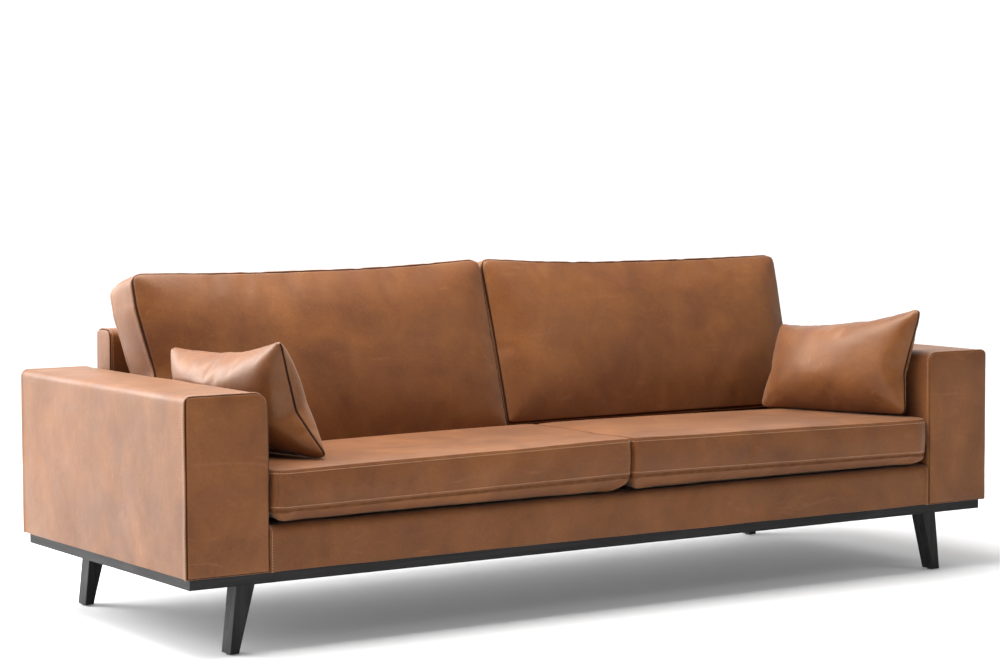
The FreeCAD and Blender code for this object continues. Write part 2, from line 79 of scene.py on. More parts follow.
CAMERA_LENS = 91.98       # in millimetres, for a frame this wide
CAMERA_FRAME = 36
CAMERA_FAR = 100
CAMERA_TURN = [math.radians(angle) for angle in (33.43, 3.84, -0.21)]   # right, down, tilted
CAMERA_PLACE = (-3.535, FRONT - 4.812, 1.057)


def camera():
    """The eye stands to the left of the sofa and looks to the right, a little down."""
    data = bpy.data.cameras.new("camera")
    data.sensor_width = CAMERA_FRAME
    data.lens = CAMERA_LENS
    data.clip_end = CAMERA_FAR
    eye = bpy.data.objects.new("camera", data)
    scene.collection.objects.link(eye)
    yaw, pitch, roll = CAMERA_TURN
    forward = Vector((math.sin(yaw) * math.cos(pitch), math.cos(yaw) * math.cos(pitch), -math.sin(pitch)))
    right = forward.cross(Vector((0, 0, 1))).normalized()
    up = right.cross(forward)
    tilted_right = right * math.cos(roll) + up * math.sin(roll)
    tilted_up = up * math.cos(roll) - right * math.sin(roll)
    turn = Matrix((tilted_right, tilted_up, -forward)).transposed()
    eye.matrix_world = Matrix.Translation(CAMERA_PLACE) @ turn.to_4x4()
    scene.camera = eye


ROOM_GLOW = 2.2           # brightness of the room in its brightest direction
ROOM_BRIGHTEST = (-0.5, 0.86, 0)   # behind the sofa and to its left
# From the darkest direction (0) round to the brightest (1), and the share of the glow there.
ROOM_SHADES = ((0.25, 0.04), (0.53, 0.46), (0.8, 0.48), (1.0, 1.0))
# Name, place, the point it faces, side and power in watts.
LIGHTS = (
    ("left_light", (-3.1, 2.9, 2.0), (-0.9, 0, 0.5), 2.6, 200),
    ("top_light", (-0.8, 0.15, 3.0), (-0.2, 0, 0.3), 2.8, 232),
    ("front_light", (2.2, -2.8, 2.6), (0.8, -0.1, 0.5), 1.0, 18),
)
FLOOR_REACH = 30
FLOOR_TONE = 0.78
FLOOR_GLOW = (0.12, 0.5)  # under the sofa and far from it
FLOOR_GLOW_FROM = (1.8, 4.5)   # the glow grows between these distances from its middle


def area_light(name, place, target, size, power):
    """A square soft light that faces its target."""
    data = bpy.data.lights.new(name, "AREA")
    data.size = size
    data.energy = power
    lamp = bpy.data.objects.new(name, data)
    scene.collection.objects.link(lamp)
    lamp.location = place
    lamp.rotation_euler = (Vector(target) - Vector(place)).to_track_quat("-Z", "Y").to_euler()


def room():
    """The light of a white room: brightest behind the sofa on the left, dark in front."""
    world = bpy.data.worlds.new("studio")
    world.use_nodes = True
    tree = world.node_tree
    background = tree.nodes["Background"]
    add = node_adder(tree)
    towards = add("ShaderNodeTexCoord").outputs["Generated"]
    side = add("ShaderNodeVectorMath", {0: towards, 1: ROOM_BRIGHTEST}, operation="DOT_PRODUCT")
    share = add("ShaderNodeMapRange", {"Value": side.outputs["Value"], "From Min": -1.0})
    shades = ramp(add, share.outputs["Result"], [(place, grey(level)) for place, level in ROOM_SHADES])
    tree.links.new(shades, background.inputs["Color"])
    background.inputs["Strength"].default_value = ROOM_GLOW
    scene.world = world


def floor():
    """A plain pale floor that glows more the further it is from the sofa."""
    mesh = bpy.data.meshes.new("floor")
    corners = [(-1, -1), (1, -1), (1, 1), (-1, 1)]
    mesh.from_pydata([(x * FLOOR_REACH, y * FLOOR_REACH, 0) for x, y in corners], [], [(0, 1, 2, 3)])
    plane = bpy.data.objects.new("floor", mesh)
    scene.collection.objects.link(plane)
    material, shader, add = new_material("floor_paint")
    shader.inputs["Base Color"].default_value = (*grey(FLOOR_TONE), 1)
    shader.inputs["Roughness"].default_value = 0.9
    shader.inputs["Emission Color"].default_value = (1, 1, 1, 1)
    far = add("ShaderNodeVectorMath", {0: object_space(add)}, operation="LENGTH").outputs["Value"]
    near_middle, far_away = FLOOR_GLOW
    start, end = FLOOR_GLOW_FROM
    glow = add("ShaderNodeMapRange", {"Value": far, "From Min": start, "From Max": end,
                                      "To Min": near_middle, "To Max": far_away})
    connect(material, glow.outputs["Result"], shader.inputs["Emission Strength"])
    mesh.materials.append(material)


def studio():
    """The room, its three soft lights (left, above, and a weak one in front) and the floor."""
    scene.view_settings.view_transform = "Standard"
    room()
    for light in LIGHTS:
        area_light(*light)
    floor()


# ---------------------------------------------------------------- materials

def node_adder(tree):
    """A function that adds a node to a tree: its settings, and a value or a link for each input."""
    def add(kind, inputs=(), **settings):
        made = tree.nodes.new(kind)
        for key, value in settings.items():
            setattr(made, key, value)
        for key, value in dict(inputs).items():
            socket = made.inputs[key]
            if isinstance(value, bpy.types.NodeSocket):
                tree.links.new(value, socket)
            else:
                socket.default_value = value
        return made

    return add


def new_material(name):
    """A material, its Principled shader and the function that adds its nodes."""
    material = bpy.data.materials.new(name)
    material.use_nodes = True
    tree = material.node_tree
    return material, tree.nodes["Principled BSDF"], node_adder(tree)


def connect(material, source, target):
    material.node_tree.links.new(source, target)


def object_space(add):
    return add("ShaderNodeTexCoord").outputs["Object"]


def grey(level):
    return (level, level, level)


def ramp(add, factor, stops):
    """A colour ramp through (position, colour) stops."""
    made = add("ShaderNodeValToRGB", {"Fac": factor})
    elements = made.color_ramp.elements
    while len(elements) < len(stops):
        elements.new(0.5)
    for element, (position, colour) in zip(elements, stops):
        element.position = position
        element.color = (*colour, 1)
    return made.outputs["Color"]


def blend_colours(add, kind, factor, first, second):
    """Mix two colours, each a socket or a plain colour."""
    mix = add("ShaderNodeMix", {0: factor, 6: first, 7: second}, data_type="RGBA", blend_type=kind)
    return mix.outputs[2]


def clouds(add, place, scale, detail, distortion=0.0, roughness=0.5):
    """Fractal noise between 0 and 1."""
    return add("ShaderNodeTexNoise", {"Vector": place, "Scale": scale, "Detail": detail,
                                      "Roughness": roughness, "Distortion": distortion}).outputs["Fac"]


def bump(add, height, strength, distance, under=None):
    """A normal tilted by a height, on top of the bumps under it."""
    inputs = {"Height": height, "Strength": strength, "Distance": distance}
    if under is not None:
        inputs["Normal"] = under
    return add("ShaderNodeBump", inputs).outputs["Normal"]


LEATHER_TONES = ((0.30, (0.115, 0.0350, 0.0082)), (0.50, (0.150, 0.0490, 0.0124)),
                 (0.72, (0.187, 0.0648, 0.0184)))
LEATHER_PATCHES = ((0.32, (0.37, 0.34, 0.40)), (0.68, (0.63, 0.67, 0.56)))
LEATHER_SPECKS = ((0.35, grey(0.43)), (0.65, grey(0.57)))
LEATHER_SHADING = 0.5     # strength of the patches and of the specks
LEATHER_GRAIN = 0.55      # roughness of its noises
LEATHER_ROUGHNESS = (0.40, 0.54)
LEATHER_GLOSS = 0.28
POLISH_SMOOTHS = 0.1      # a full polish takes this from the roughness
POLISH_SHINES = 0.24      # and adds this to the gloss
SCUFF_TONE = (0.34, 0.15, 0.07, 1)
SCUFF_STRENGTH = 0.16


def leather(name, shift=0.0, polish=0.0):
    """Waxed, slightly nappy cowhide: clouds of tone, fine grain, faint scuffs and soft creases.

    shift moves the pattern, so that no two hides match; polish makes it shinier.
    """
    material, shader, add = new_material(name)
    offset = (shift, shift * 0.7, shift * 1.3)
    moved = add("ShaderNodeVectorMath", {0: object_space(add), 1: offset}, operation="ADD")
    spot = moved.outputs["Vector"]

    def cloud(scale, detail, distortion):
        return clouds(add, spot, scale, detail, distortion, LEATHER_GRAIN)

    toned = ramp(add, cloud(3.4, 5, 0.9), LEATHER_TONES)
    patches = ramp(add, cloud(11, 4, 0.6), LEATHER_PATCHES)
    toned = blend_colours(add, "OVERLAY", LEATHER_SHADING, toned, patches)
    specks = ramp(add, cloud(170, 3, 0), LEATHER_SPECKS)
    toned = blend_colours(add, "OVERLAY", LEATHER_SHADING, toned, specks)
    stretched = add("ShaderNodeMapping", {"Vector": spot, "Rotation": (0.4, 0.5, 0.7), "Scale": (5, 60, 21)})
    scuffs = clouds(add, stretched.outputs["Vector"], 1.0, 3, 1.2, 0.6)
    scuff_mask = ramp(add, scuffs, ((0.64, grey(0)), (0.72, grey(1))))
    faint = add("ShaderNodeMath", {0: scuff_mask, 1: SCUFF_STRENGTH}, operation="MULTIPLY")
    toned = blend_colours(add, "MIX", faint.outputs[0], toned, SCUFF_TONE)
    connect(material, toned, shader.inputs["Base Color"])

    smooth, rough = (level - POLISH_SMOOTHS * polish for level in LEATHER_ROUGHNESS)
    wear = ramp(add, cloud(8, 4, 0.4), ((0.3, grey(smooth)), (0.7, grey(rough))))
    connect(material, wear, shader.inputs["Roughness"])
    shader.inputs["Specular IOR Level"].default_value = LEATHER_GLOSS + POLISH_SHINES * polish
    shader.inputs["Specular Tint"].default_value = (1.0, 0.88, 0.74, 1)
    shader.inputs["Sheen Weight"].default_value = 0.16
    shader.inputs["Sheen Roughness"].default_value = 0.5
    shader.inputs["Sheen Tint"].default_value = (1.0, 0.86, 0.72, 1)

    pebbles = add("ShaderNodeTexVoronoi", {"Vector": spot, "Scale": 620, "Randomness": 1.0},
                  feature="SMOOTH_F1").outputs["Distance"]
    surface = bump(add, pebbles, 0.16, 0.0006)
    surface = bump(add, cloud(240, 4, 0.3), 0.14, 0.0012, surface)
    surface = bump(add, scuffs, 0.05, 0.004, surface)
    surface = bump(add, cloud(15, 3, 0.5), 0.10, 0.012, surface)
    connect(material, surface, shader.inputs["Normal"])
    return material


def groove(name, tone):
    """Painted shade for the leather turned in to a seam: a darker tone, without sheen."""
    material, shader, add = new_material(name)
    wear = clouds(add, object_space(add), 60, 3)
    lighter = tuple(1.5 * part for part in tone)
    connect(material, ramp(add, wear, ((0.3, tone), (0.7, lighter))), shader.inputs["Base Color"])
    shader.inputs["Roughness"].default_value = 0.85
    shader.inputs["Specular IOR Level"].default_value = 0.1
    return material


def wood(name, tones, scale, roughness, along, relief=0.15, gloss=0.5):
    """Grain along one axis: tones are three colours from dark to light."""
    material, shader, add = new_material(name)
    shader.inputs["Specular IOR Level"].default_value = gloss
    stretch = [scale * 0.045 if axis == along else scale for axis in "xyz"]
    run = add("ShaderNodeMapping", {"Vector": object_space(add), "Scale": stretch}).outputs["Vector"]
    rings = clouds(add, run, 1.0, 6, 0.7, 0.62)
    tone = ramp(add, rings, tuple(zip((0.33, 0.5, 0.68), tones)))
    connect(material, tone, shader.inputs["Base Color"])
    wear = ramp(add, rings, ((0.3, grey(roughness + 0.08)), (0.7, grey(roughness - 0.05))))
    connect(material, wear, shader.inputs["Roughness"])
    connect(material, bump(add, rings, relief, 0.0012), shader.inputs["Normal"])
    return material


def woven(name, dark, light, threads):
    """Cloth or felt: fine threads both ways with a little colour variation."""
    material, shader, add = new_material(name)
    spot = object_space(add)
    waves = [add("ShaderNodeTexWave", {"Vector": spot, "Scale": threads, "Distortion": 1.5},
                 bands_direction=axis).outputs["Fac"] for axis in "XY"]
    height = add("ShaderNodeMath", {0: waves[0], 1: waves[1]}, operation="MULTIPLY").outputs[0]
    fuzz = clouds(add, spot, 90, 4)
    connect(material, ramp(add, fuzz, ((0.3, dark), (0.7, light))), shader.inputs["Base Color"])
    shader.inputs["Roughness"].default_value = 0.9
    connect(material, bump(add, height, 0.4, 0.0008), shader.inputs["Normal"])
    return material


def foam(name):
    """Cut polyurethane foam: pale, open cells."""
    material, shader, add = new_material(name)
    cells = add("ShaderNodeTexVoronoi", {"Vector": object_space(add), "Scale": 420}).outputs["Distance"]
    tone = ramp(add, cells, ((0.1, (0.62, 0.56, 0.38)), (0.6, (0.82, 0.78, 0.62))))
    connect(material, tone, shader.inputs["Base Color"])
    shader.inputs["Roughness"].default_value = 0.92
    connect(material, bump(add, cells, 0.5, 0.001), shader.inputs["Normal"])
    return material


def steel(name):
    """Drawn steel wire and zinc-plated bolts."""
    material, shader, add = new_material(name)
    marks = clouds(add, object_space(add), 130, 5)
    connect(material, ramp(add, marks, ((0.3, grey(0.46)), (0.7, grey(0.62)))), shader.inputs["Base Color"])
    connect(material, ramp(add, marks, ((0.3, grey(0.28)), (0.7, grey(0.45)))), shader.inputs["Roughness"])
    shader.inputs["Metallic"].default_value = 1.0
    return material


def thread(name):
    """Waxed tan thread."""
    material, shader, add = new_material(name)
    twist = clouds(add, object_space(add), 900, 2)
    tone = ramp(add, twist, ((0.3, (0.36, 0.20, 0.11)), (0.7, (0.52, 0.32, 0.19))))
    connect(material, tone, shader.inputs["Base Color"])
    shader.inputs["Roughness"].default_value = 0.6
    return material


BLACK_TONES = ((0.006, 0.006, 0.006), (0.011, 0.010, 0.010), (0.019, 0.018, 0.018))
BEECH_TONES = ((0.42, 0.25, 0.13), (0.55, 0.35, 0.19), (0.66, 0.46, 0.28))


def dress_frame():
    """Give every CAD node that stays its own finish; the grain follows each board's length."""
    black = {axis: wood("black_wood_" + axis, BLACK_TONES, 70, 0.5, axis, relief=0.25, gloss=0.22)
             for axis in "xyz"}
    beech = {axis: wood("beech_" + axis, BEECH_TONES, 60, 0.6, axis) for axis in "xyz"}
    plain = {"foam": foam("foam"), "steel": steel("steel"),
             "black_cloth": woven("black_cloth", (0.012, 0.012, 0.013), (0.03, 0.03, 0.032), 260),
             "felt": woven("felt", (0.05, 0.045, 0.04), (0.11, 0.10, 0.09), 160),
             "leather": leather("leather_inside", shift=3.0)}
    slots = {item["node"]: item["material_slot"] for item in frame["record"]["subparts"]}
    for name, piece in nodes.items():
        low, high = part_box(name)
        longest = "xyz"[max(range(3), key=lambda axis: high[axis] - low[axis])]
        slot = slots[name]
        if slot == "black_wood":
            material = black[longest]
        elif slot in ("beech", "plywood"):
            material = beech[longest]
        else:
            material = plain[slot]
        piece.data.materials.clear()
        piece.data.materials.append(material)


# ---------------------------------------------------------------- sewn pads

NEAR_SEAM = (SEAM_WIDTH, 0.005, 0.011, 0.021, 0.034)   # distances of the fine lines from it
NEAR_SHARE = 0.8          # none lies further in than this share of the way to the middle


def stations(half, step, near=NEAR_SEAM):
    """Grid lines from -half to half: even in the middle, close together beside the seams."""
    edge = [offset for offset in near if offset < half * NEAR_SHARE]
    inner = half - edge[-1]
    count = max(2, round(2 * inner / step))
    middle = [-inner + 2 * inner * index / count for index in range(count + 1)]
    left = [-half] + [-half + offset for offset in edge[:-1]]
    return left + middle + [-value for value in reversed(left)]


def round_corner(u, v, half_u, half_v, radii):
    """Bring the square corners of an outline in onto arcs.

    radii are those of the corners at low u low v, high u low v, low u high v, high u high v.
    """
    radius = radii[(u > 0) + 2 * (v > 0)]
    if radius <= 0:
        return u, v
    over_u = (abs(u) - (half_u - radius)) / radius
    over_v = (abs(v) - (half_v - radius)) / radius
    if over_u <= 0 or over_v <= 0:
        return u, v
    bent_u = over_u * math.sqrt(1 - over_v * over_v / 2)
    bent_v = over_v * math.sqrt(1 - over_u * over_u / 2)
    return (math.copysign(half_u - radius + radius * bent_u, u),
            math.copysign(half_v - radius + radius * bent_v, v))


class Pad:
    """Two sewn panels and the boxing between them, as one closed mesh.

    us and vs are the grid lines of the panels, ws those of the boxing from the front panel (0)
    to the rear one. shape(u, v, w) gives the point of the mesh for each.
    """

    def __init__(self, name, us, vs, ws, shape):
        self.name, self.us, self.vs, self.ws = name, us, vs, ws
        self.index, points, faces = {}, [], []
        last_u, last_v, last_w = len(us) - 1, len(vs) - 1, len(ws) - 1

        def at(i, j, k):
            if (i, j, k) not in self.index:
                self.index[i, j, k] = len(points)
                points.append(Vector(shape(us[i], vs[j], ws[k])))
            return self.index[i, j, k]

        for i in range(last_u):
            for j in range(last_v):
                faces.append((at(i, j, 0), at(i + 1, j, 0), at(i + 1, j + 1, 0), at(i, j + 1, 0)))
                faces.append((at(i, j, last_w), at(i, j + 1, last_w), at(i + 1, j + 1, last_w),
                              at(i + 1, j, last_w)))
        self.rim = ([(i, 0) for i in range(last_u)] + [(last_u, j) for j in range(last_v)]
                    + [(i, last_v) for i in range(last_u, 0, -1)] + [(0, j) for j in range(last_v, 0, -1)])
        for k in range(last_w):
            for here, there in zip(self.rim, self.rim[1:] + self.rim[:1]):
                faces.append((at(*here, k), at(*here, k + 1), at(*there, k + 1), at(*there, k)))
        mesh = bpy.data.meshes.new(name)
        mesh.from_pydata(points, [], faces)
        solid = bmesh.new()
        solid.from_mesh(mesh)
        bmesh.ops.recalc_face_normals(solid, faces=solid.faces)
        solid.to_mesh(mesh)
        solid.free()
        mesh.polygons.foreach_set("use_smooth", [True] * len(mesh.polygons))
        self.piece = bpy.data.objects.new(name, mesh)
        scene.collection.objects.link(self.piece)

    def paint_seam_shade(self, rows, ends_only=False):
        """Give the faces that touch a seam the second material, the painted shade of its groove."""
        ends = (0, len(self.us) - 1)
        seam = {self.index[i, j, k] for k in rows for i, j in self.rim if not ends_only or i in ends}
        for face in self.piece.data.polygons:
            if sum(number in seam for number in face.vertices) >= 2:
                face.material_index = 1

    def ring(self, k):
        """Vertex numbers once round the boxing at row k."""
        return [self.index[i, j, k] for i, j in self.rim]

    def points(self):
        """The place of every vertex."""
        flat = np.zeros(len(self.piece.data.vertices) * 3, np.float32)
        self.piece.data.vertices.foreach_get("co", flat)
        return flat.reshape(-1, 3)

    def set_points(self, points):
        self.piece.data.vertices.foreach_set("co", np.asarray(points, np.float32).ravel())
        self.piece.data.update()

    def normals(self):
        self.piece.data.update()
        flat = np.zeros(len(self.piece.data.vertices) * 3, np.float32)
        self.piece.data.vertices.foreach_get("normal", flat)
        return flat.reshape(-1, 3)

    def sink(self, rows, depth):
        """Pull whole boxing rows inwards, as a seam or a line of stitching does."""
        points, normals = self.points(), self.normals()
        for k in rows:
            ring = self.ring(k)
            points[ring] -= normals[ring] * depth
        self.set_points(points)

    def smooth(self):
        """One subdivision."""
        made = self.piece.modifiers.new("smooth", "SUBSURF")
        made.levels = made.render_levels = 1
        bake(self.piece)


def bake(piece):
    """Apply every modifier of a piece."""
    graph = bpy.context.evaluated_depsgraph_get()
    mesh = bpy.data.meshes.new_from_object(piece.evaluated_get(graph), depsgraph=graph)
    piece.modifiers.clear()
    piece.data = mesh


CLOTH_QUALITY = 5
CLOTH_MASS = 0.3
CLOTH_DAMPING = 4
CLOTH_SHEAR = 0.5         # its stiffness in shear, as a share of that in tension


def inflate(pad, pressure, cap, pinned, growth=0.0, stiffness=30, bending=8):
    """Swell a pad by a short cloth simulation; no point moves further than about the cap.

    growth is the share by which the leather is cut larger than the pad.
    """
    start = pad.points().copy()
    group = pad.piece.vertex_groups.new(name="sewn")
    group.add(pinned, 1.0, "REPLACE")
    cloth = pad.piece.modifiers.new("swell", "CLOTH")
    settings = cloth.settings
    settings.quality = CLOTH_QUALITY
    settings.mass = CLOTH_MASS
    settings.tension_stiffness = settings.compression_stiffness = stiffness
    settings.shear_stiffness = stiffness * CLOTH_SHEAR
    settings.bending_stiffness = bending
    settings.air_damping = CLOTH_DAMPING
    settings.use_pressure = True
    settings.uniform_pressure_force = pressure
    settings.vertex_group_mass = "sewn"
    settings.shrink_min = -growth
    settings.effector_weights.gravity = 0
    cloth.collision_settings.use_collision = False
    cloth.collision_settings.use_self_collision = False
    cloth.point_cache.frame_start = 1
    cloth.point_cache.frame_end = SIM_FRAMES
    for number in range(1, SIM_FRAMES + 1):
        scene.frame_set(number)
    graph = bpy.context.evaluated_depsgraph_get()
    swollen = pad.piece.evaluated_get(graph).data
    flat = np.zeros(len(swollen.vertices) * 3, np.float32)
    swollen.vertices.foreach_get("co", flat)
    pad.piece.modifiers.clear()
    pad.piece.vertex_groups.clear()
    moved = flat.reshape(-1, 3) - start
    length = np.maximum(np.linalg.norm(moved, axis=1, keepdims=True), 1e-9)
    pad.set_points(start + moved / length * cap * np.tanh(length / cap))
    scene.frame_set(1)


RIPPLE_FALL, RIPPLE_GAP, RIPPLE_OCTAVES = 1.0, 2.0, 3


def ripple(pad, size, scale, seed, keep=()):
    """Soft unevenness of leather over foam; the vertices in keep stay where they are."""
    points, normals = pad.points(), pad.normals()
    offset = Vector((seed, seed * 1.7, -seed))
    heights = np.array([noise.fractal(Vector(point) * scale + offset, RIPPLE_FALL, RIPPLE_GAP,
                                      RIPPLE_OCTAVES) for point in points])
    heights[list(keep)] = 0
    pad.set_points(points + normals * (heights * size)[:, None])


def bead(verts, faces, centre, along, across, normal):
    """One stitch: a short four-sided thread that tapers at its ends."""
    first = len(verts)
    for share, radius in STITCH_RINGS:
        middle = centre + along * (share * STITCH_LENGTH)
        for side, height in ((-1, 0), (0, 1), (1, 0), (0, -1)):
            verts.append(middle + (across * side + normal * height) * (STITCH_RADIUS * radius))
    for ring in range(len(STITCH_RINGS) - 1):
        base = first + ring * 4
        for corner in range(4):
            following = (corner + 1) % 4
            faces.append((base + corner, base + following, base + 4 + following, base + 4 + corner))
    tip = first + 4 * (len(STITCH_RINGS) - 1)
    faces.append((first + 3, first + 2, first + 1, first))
    faces.append((tip, tip + 1, tip + 2, tip + 3))


def stitches(name, path, normals):
    """Thread beads along a closed path, each lying along it."""
    points = [Vector(point) for point in path]
    outward = [Vector(normal) for normal in normals]
    points.append(points[0])
    verts, faces = [], []
    carried = 0.0
    for start, end, normal in zip(points, points[1:], outward):
        span = (end - start).length
        if span < TINY:
            continue
        along = (end - start) / span
        across = along.cross(normal).normalized()
        spot = carried
        while spot < span:
            centre = start + along * spot + normal * STITCH_LIFT
            bead(verts, faces, centre, along, across, normal)
            spot += STITCH_PITCH
        carried = spot - span
    mesh = bpy.data.meshes.new(name)
    mesh.from_pydata(verts, [], faces)
    mesh.polygons.foreach_set("use_smooth", [True] * len(mesh.polygons))
    mesh.materials.append(THREAD)
    piece = bpy.data.objects.new(name, mesh)
    scene.collection.objects.link(piece)
    return piece


BOXING_ROWS = [0, SEAM_WIDTH, 0.0042, STITCH_INSET, 0.0092, 0.0125, 0.02]   # beside a seam
SEAM_ROW = 0
BAND_ROWS = (2, 4)        # the raised rows on both sides of the stitching
STITCH_ROW = 3
STITCH_RISE = 0.4         # the stitched row rises this share of their height


def sew(pad, relief=1.0):
    """Seams with a raised, topstitched edge on the boxing side; returns the rows of thread."""
    last = len(pad.ws) - 1

    def rows(*numbers):
        return list(numbers) + [last - number for number in numbers]

    pad.sink(rows(SEAM_ROW), SEAM_DEPTH * relief)
    # The faces along each seam take the painted shade of its groove.
    pad.paint_seam_shade(rows(SEAM_ROW))
    pad.sink(rows(*BAND_ROWS), -BAND_HEIGHT * relief)
    pad.sink(rows(STITCH_ROW), -BAND_HEIGHT * relief * STITCH_RISE)
    points, normals = pad.points(), pad.normals()
    made = []
    for k in rows(STITCH_ROW):
        ring = pad.ring(k)
        made.append(stitches("%s_thread_%d" % (pad.name, k), points[ring], normals[ring]))
    return made


def join(pieces, name):
    """One object out of several."""
    for piece in bpy.context.selected_objects:
        piece.select_set(False)
    for piece in pieces:
        piece.select_set(True)
    bpy.context.view_layer.objects.active = pieces[0]
    bpy.ops.object.join()
    pieces[0].name = name
    return pieces[0]


def settle(pad, body, cover, filling, material, threads, seam=None):
    """Materials, body, replaced nodes and slot of a finished pad and its stitching.

    seam is the painted shade of its grooves, the dark one unless another is given.
    """
    pad.piece.data.materials.append(material)
    pad.piece.data.materials.append(seam or DARK_SEAM_SHADE)
    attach(pad.piece, body)
    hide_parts(cover, filling)
    if threads:
        sewn = join(threads, pad.name + "_stitching")
        sewn.parent = pad.piece


def dome(distance, reach):
    """0 at a seam, rising smoothly to 1 at reach from it."""
    share = min(max(distance / reach, 0), 1)
    return math.sqrt(1 - (1 - share) ** 2) if share < 1 else 1.0


def rows_of_boxing(depth, step):
    """Boxing rows: close together at the seams, with one row on each line of stitching."""
    near = BOXING_ROWS
    far = [depth - value for value in reversed(near)]
    count = max(1, round((far[0] - near[-1]) / step))
    middle = [near[-1] + (far[0] - near[-1]) * index / count for index in range(1, count)]
    return near + middle + far


# ---------------------------------------------------------------- the upholstered frame

FIRM_STEP = 0.03          # size of its grid
FIRM_NEAR_SEAM = (SEAM_WIDTH, 0.006, 0.012, 0.022)
FIRM_CORNER = 0.032       # the fine lines beside a seam reach at least so far
FIRM_ROLL = 0.05          # a panel reaches its crown this far from its seams
FIRM_SIDE_SWELL = 0.3     # the boxing swells this share of the crown
FIRM_SIDE_ROLL = 0.08
FIRM_RIPPLE = (0.0011, 7)     # height of the unevenness and its scale


def firm_box(name, node, panel_axes, depth_axis, radii, crown, seed, seam=None):
    """A tightly covered part of the frame: panels across depth_axis, boxing along it.

    radii are those of the two upper corners of the panel; the lower ones are square.
    """
    low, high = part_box(node)
    first, second = panel_axes
    half_u, half_v = (high[first] - low[first]) / 2, (high[second] - low[second]) / 2
    mid = (low + high) / 2
    depth = high[depth_axis] - low[depth_axis]

    def shape(u, v, w):
        edge = min(half_u - abs(u), half_v - abs(v))
        across, up = round_corner(u, v, half_u, half_v, (0, 0) + radii)
        outward = crown * dome(edge, FIRM_ROLL)
        along = w
        if w == 0:
            along = -outward
        elif w == depth:
            along = depth + outward
        else:
            end = min(w, depth - w)
            swell = crown * FIRM_SIDE_SWELL * dome(end, FIRM_SIDE_ROLL)
            if abs(abs(u) - half_u) < TINY:
                across += math.copysign(swell * dome(half_v - abs(v), FIRM_ROLL), u)
            if abs(v - half_v) < TINY:
                up += swell * dome(half_u - abs(u), FIRM_ROLL)
        point = Vector((0, 0, 0))
        point[first] = mid[first] + across
        point[second] = mid[second] + up
        point[depth_axis] = low[depth_axis] + along
        return point

    near = (*FIRM_NEAR_SEAM, max(FIRM_CORNER, *radii))
    pad = Pad(name, stations(half_u, FIRM_STEP, near), stations(half_v, FIRM_STEP, near),
              rows_of_boxing(depth, FIRM_STEP), shape)
    ripple(pad, *FIRM_RIPPLE, seed)
    threads = sew(pad)
    pad.smooth()
    settle(pad, "root", node, node.replace("cover", "padding"),
           LEATHERS[seed % len(LEATHERS)], threads, seam)


def upholstery():
    """The two arms, the front rail and the fixed back."""
    across, along, up = range(3)
    firm_box("left_arm", "left_arm_cover", (across, up), along, radii=(0.014, 0.034), crown=0.004, seed=1)
    firm_box("right_arm", "right_arm_cover", (across, up), along, radii=(0.022, 0.014), crown=0.004,
             seed=2, seam=SOFT_SEAM_SHADE)
    firm_box("front_rail", "front_rail_cover", (along, up), across, radii=(0.016, 0.004), crown=0.0015,
             seed=3, seam=SOFT_SEAM_SHADE)
    firm_box("fixed_back", "back_cover", (along, up), across, radii=(0.022, 0.022), crown=0.003, seed=4)


# ---------------------------------------------------------------- loose cushions

CUSHION_STEP = 0.016      # size of their grid

SEAT_SEAM_TOP = 0.399     # level of the upper seam, where it doesn't rise
SEAT_SEAM_LOW = 0.313     # and of the lower one
SEAT_SEAM_RISE = 0.011    # both rise this much towards the middle of the sofa
SEAT_CREST = SEAT_LEVEL + 0.0140   # the top, in the middle of the sofa
SEAT_CREST_FALL = 0.012   # it is this much lower at the arms
SEAT_REAR = SEAT_LEVEL - 0.018     # and flat at this level under the back cushions
SEAT_FALL = 0.13          # the length of the slope between them
SEAT_ROLL = ((0.6, 0.07), (0.4, 0.16))   # how it rises from its seam: shares and distances
SEAT_UNDER_ROLL = 0.055   # the underside is flat this far from its seam
SEAT_SWELL = 0.003        # the simulation raises the top no more than this
SEAT_BULGE = 0.004        # the boxing curves out this much in the middle
SEAT_GAP = 0.0002         # half the least gap between the two seat cushions
SEAT_PLAY = 0.0055        # so far from the arm, to slide past its stitching
SEAT_LIFT = 0.0035        # and so far above the deck and the rail
SEAT_SEAM_RELIEF = 0.4    # its seams are softer than those of the frame
SEAT_FACE = 0.006         # the seams lie this far behind the most forward point
SEAT_ROW = 0.012          # between the rows of boxing
SEAT_PRESSURE = 3.5
SEAT_CAP = 0.022
SEAT_GROWTH = 0.002
SEAT_RIPPLE = (0.0016, 5)
SEAT_SEEDS = 20           # added to a cushion's own seed, so that each kind has its own draws
# Radii of the corners: front left, front right, rear left, rear right.
SEAT_CORNERS = {"left": (0.034, 0.016, 0.03, 0.03), "right": (0.016, 0.052, 0.03, 0.03)}


def seat_top(across, along):
    """The level of the seat: crowned in front, lower and flat under the back cushions."""
    crest = SEAT_CREST - SEAT_CREST_FALL * (across / RAIL_END) ** 2
    share = np.clip((along - (BACK_FRONT - SEAT_FALL)) / SEAT_FALL, 0, 1)
    return crest + (SEAT_REAR - crest) * share * share * (3 - 2 * share)


def seat_rise(across, along):
    """The seams rise towards the middle of the sofa, less so at the rear."""
    middle = 1 - abs(across) / (SEAT_HIGH.x - SEAT_LOW.x)
    return SEAT_SEAM_RISE * middle * min(1, (SEAT_HIGH.y - along) / SEAT_FALL)


def seat_level(across, along, edge=None):
    """The top of the seat before it swells, rolled over towards its seams."""
    if edge is None:
        edge = min(-SEAT_LOW.x - SEAT_PLAY - abs(across), abs(across) + SEAT_HIGH.x,
                   along - SEAT_LOW.y - SEAT_FACE, SEAT_HIGH.y - along)
    share = sum(part * dome(edge, reach) for part, reach in SEAT_ROLL)
    seam = SEAT_SEAM_TOP + seat_rise(across, along)
    return seam + (seat_top(across, along) - SEAT_SWELL - seam) * share


